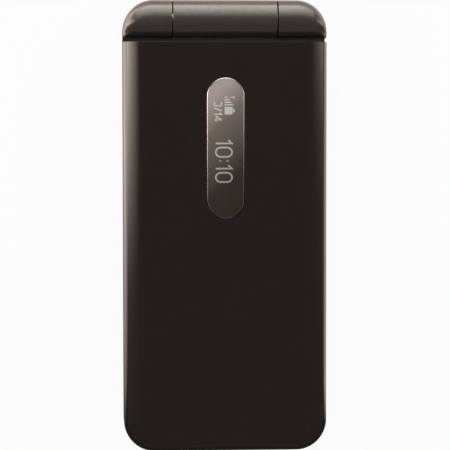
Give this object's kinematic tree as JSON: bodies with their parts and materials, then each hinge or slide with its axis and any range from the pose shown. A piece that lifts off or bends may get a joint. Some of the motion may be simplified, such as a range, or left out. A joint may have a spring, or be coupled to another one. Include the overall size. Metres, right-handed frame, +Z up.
{
  "type": "flip phone",
  "caption": "Folding mobile phone with a glossy lid, a pill-shaped outer clock window, a cylindrical hinge barrel and a full keypad inside.",
  "frame": {"origin": "centre of the shut phone's footprint, on the surface that it lies on", "axes": "+X to the phone's right, +Y towards the hinge, +Z up out of the lid"},
  "size_m": [0.051, 0.113, 0.0171],
  "materials": {
    "lid_gloss": "gloss",
    "dark_metal": "satin",
    "metallic_plastic": "satin",
    "dark_plastic": "satin",
    "key_plastic": "satin",
    "tinted_window": "gloss",
    "clear_window": "gloss",
    "display": "gloss",
    "black_plastic": "matte",
    "rubber": "matte",
    "steel": "satin",
    "brass": "satin",
    "circuit": "satin",
    "film": "satin",
    "key_rubber": "matte",
    "mesh": "satin",
    "cell": "satin"
  },
  "bodies": {
    "base": {"base_front_case": "dark_metal", "base_rear_case": "dark_plastic", "left_knuckle_cap": "dark_metal", "right_knuckle_cap": "dark_metal", "hinge_shaft": "steel", "hinge_bush": "brass", "hinge_flex": "film", "main_board": "circuit", "shield_can": "steel", "dome_sheet": "film", "key_sheet": "key_rubber", "vibration_motor": "steel", "speaker": "black_plastic", "camera_module": "black_plastic", "camera_window": "tinted_window", "flash_window": "clear_window", "usb_socket": "steel", "sim_socket": "steel", "battery": "cell", "base_screws": "steel"},
    "lid": {"lid_case": "dark_metal", "lid_cover": "lid_gloss", "lid_knuckle": "dark_metal", "sub_window": "tinted_window", "sub_display": "display", "display_window": "tinted_window", "main_display": "display", "display_frame": "steel", "lid_board": "circuit", "receiver": "black_plastic", "receiver_mesh": "mesh", "lid_bumpers": "rubber", "lid_screws": "steel", "hinge_unit": "steel"},
    "battery_cover": {"battery_cover": "dark_plastic", "battery_seal": "rubber"},
    "port_cover": {"port_cover": "dark_plastic"},
    "side_key": {"side_key": "metallic_plastic"},
    "nav_web": {"nav_web": "steel"},
    "nav_ring": {"nav_ring": "metallic_plastic"},
    "select_key": {"select_key": "metallic_plastic"},
    "mail_key": {"mail_key": "key_plastic"},
    "camera_key": {"camera_key": "key_plastic"},
    "web_key": {"web_key": "key_plastic"},
    "menu_key": {"menu_key": "key_plastic"},
    "call_key": {"call_key": "key_plastic"},
    "clear_key": {"clear_key": "key_plastic"},
    "end_key": {"end_key": "key_plastic"},
    "key_1": {"key_1": "key_plastic"},
    "key_2": {"key_2": "key_plastic"},
    "key_3": {"key_3": "key_plastic"},
    "key_4": {"key_4": "key_plastic"},
    "key_5": {"key_5": "key_plastic"},
    "key_6": {"key_6": "key_plastic"},
    "key_7": {"key_7": "key_plastic"},
    "key_8": {"key_8": "key_plastic"},
    "key_9": {"key_9": "key_plastic"},
    "key_star": {"key_star": "key_plastic"},
    "key_0": {"key_0": "key_plastic"},
    "key_hash": {"key_hash": "key_plastic"}
  },
  "joints": [
    {"name": "lid_hinge", "type": "hinge", "parent": "base", "child": "lid", "pos_m": [0, 0.0518, 0.0123], "axis": [-1, 0, 0], "range_deg": [0, 160]},
    {"name": "nav_tilt_x", "type": "hinge", "parent": "base", "child": "nav_web", "pos_m": [0, 0.0315, 0.0079], "axis": [1, 0, 0], "range_deg": [-1, 1], "stiffness_Nm_per_rad": 0.5},
    {"name": "nav_tilt_y", "type": "hinge", "parent": "nav_web", "child": "nav_ring", "pos_m": [0, 0.0315, 0.0079], "axis": [0, 1, 0], "range_deg": [-1, 1], "stiffness_Nm_per_rad": 0.5},
    {"name": "select_key_press", "type": "slide", "parent": "base", "child": "select_key", "axis": [0, 0, -1], "range_m": [0, 0.0003], "stiffness_N_per_m": 1500},
    {"name": "mail_key_press", "type": "slide", "parent": "base", "child": "mail_key", "axis": [0, 0, -1], "range_m": [0, 0.0003], "stiffness_N_per_m": 1500},
    {"name": "camera_key_press", "type": "slide", "parent": "base", "child": "camera_key", "axis": [0, 0, -1], "range_m": [0, 0.0003], "stiffness_N_per_m": 1500},
    {"name": "web_key_press", "type": "slide", "parent": "base", "child": "web_key", "axis": [0, 0, -1], "range_m": [0, 0.0003], "stiffness_N_per_m": 1500},
    {"name": "menu_key_press", "type": "slide", "parent": "base", "child": "menu_key", "axis": [0, 0, -1], "range_m": [0, 0.0003], "stiffness_N_per_m": 1500},
    {"name": "call_key_press", "type": "slide", "parent": "base", "child": "call_key", "axis": [0, 0, -1], "range_m": [0, 0.0003], "stiffness_N_per_m": 1500},
    {"name": "clear_key_press", "type": "slide", "parent": "base", "child": "clear_key", "axis": [0, 0, -1], "range_m": [0, 0.0003], "stiffness_N_per_m": 1500},
    {"name": "end_key_press", "type": "slide", "parent": "base", "child": "end_key", "axis": [0, 0, -1], "range_m": [0, 0.0003], "stiffness_N_per_m": 1500},
    {"name": "key_1_press", "type": "slide", "parent": "base", "child": "key_1", "axis": [0, 0, -1], "range_m": [0, 0.0003], "stiffness_N_per_m": 1500},
    {"name": "key_2_press", "type": "slide", "parent": "base", "child": "key_2", "axis": [0, 0, -1], "range_m": [0, 0.0003], "stiffness_N_per_m": 1500},
    {"name": "key_3_press", "type": "slide", "parent": "base", "child": "key_3", "axis": [0, 0, -1], "range_m": [0, 0.0003], "stiffness_N_per_m": 1500},
    {"name": "key_4_press", "type": "slide", "parent": "base", "child": "key_4", "axis": [0, 0, -1], "range_m": [0, 0.0003], "stiffness_N_per_m": 1500},
    {"name": "key_5_press", "type": "slide", "parent": "base", "child": "key_5", "axis": [0, 0, -1], "range_m": [0, 0.0003], "stiffness_N_per_m": 1500},
    {"name": "key_6_press", "type": "slide", "parent": "base", "child": "key_6", "axis": [0, 0, -1], "range_m": [0, 0.0003], "stiffness_N_per_m": 1500},
    {"name": "key_7_press", "type": "slide", "parent": "base", "child": "key_7", "axis": [0, 0, -1], "range_m": [0, 0.0003], "stiffness_N_per_m": 1500},
    {"name": "key_8_press", "type": "slide", "parent": "base", "child": "key_8", "axis": [0, 0, -1], "range_m": [0, 0.0003], "stiffness_N_per_m": 1500},
    {"name": "key_9_press", "type": "slide", "parent": "base", "child": "key_9", "axis": [0, 0, -1], "range_m": [0, 0.0003], "stiffness_N_per_m": 1500},
    {"name": "key_star_press", "type": "slide", "parent": "base", "child": "key_star", "axis": [0, 0, -1], "range_m": [0, 0.0003], "stiffness_N_per_m": 1500},
    {"name": "key_0_press", "type": "slide", "parent": "base", "child": "key_0", "axis": [0, 0, -1], "range_m": [0, 0.0003], "stiffness_N_per_m": 1500},
    {"name": "key_hash_press", "type": "slide", "parent": "base", "child": "key_hash", "axis": [0, 0, -1], "range_m": [0, 0.0003], "stiffness_N_per_m": 1500},
    {"name": "side_key_press", "type": "slide", "parent": "base", "child": "side_key", "axis": [-1, 0, 0], "range_m": [0, 0.0003], "stiffness_N_per_m": 1500},
    {"name": "port_cover_hinge", "type": "hinge", "parent": "base", "child": "port_cover", "pos_m": [-0.0255, 0.03355, 0.0046], "axis": [0, 0, -1], "range_deg": [0, 110]},
    {"name": "battery_cover_off", "type": "slide", "parent": "base", "child": "battery_cover", "axis": [0, 0, -1], "range_m": [0, 0.02]}
  ]
}
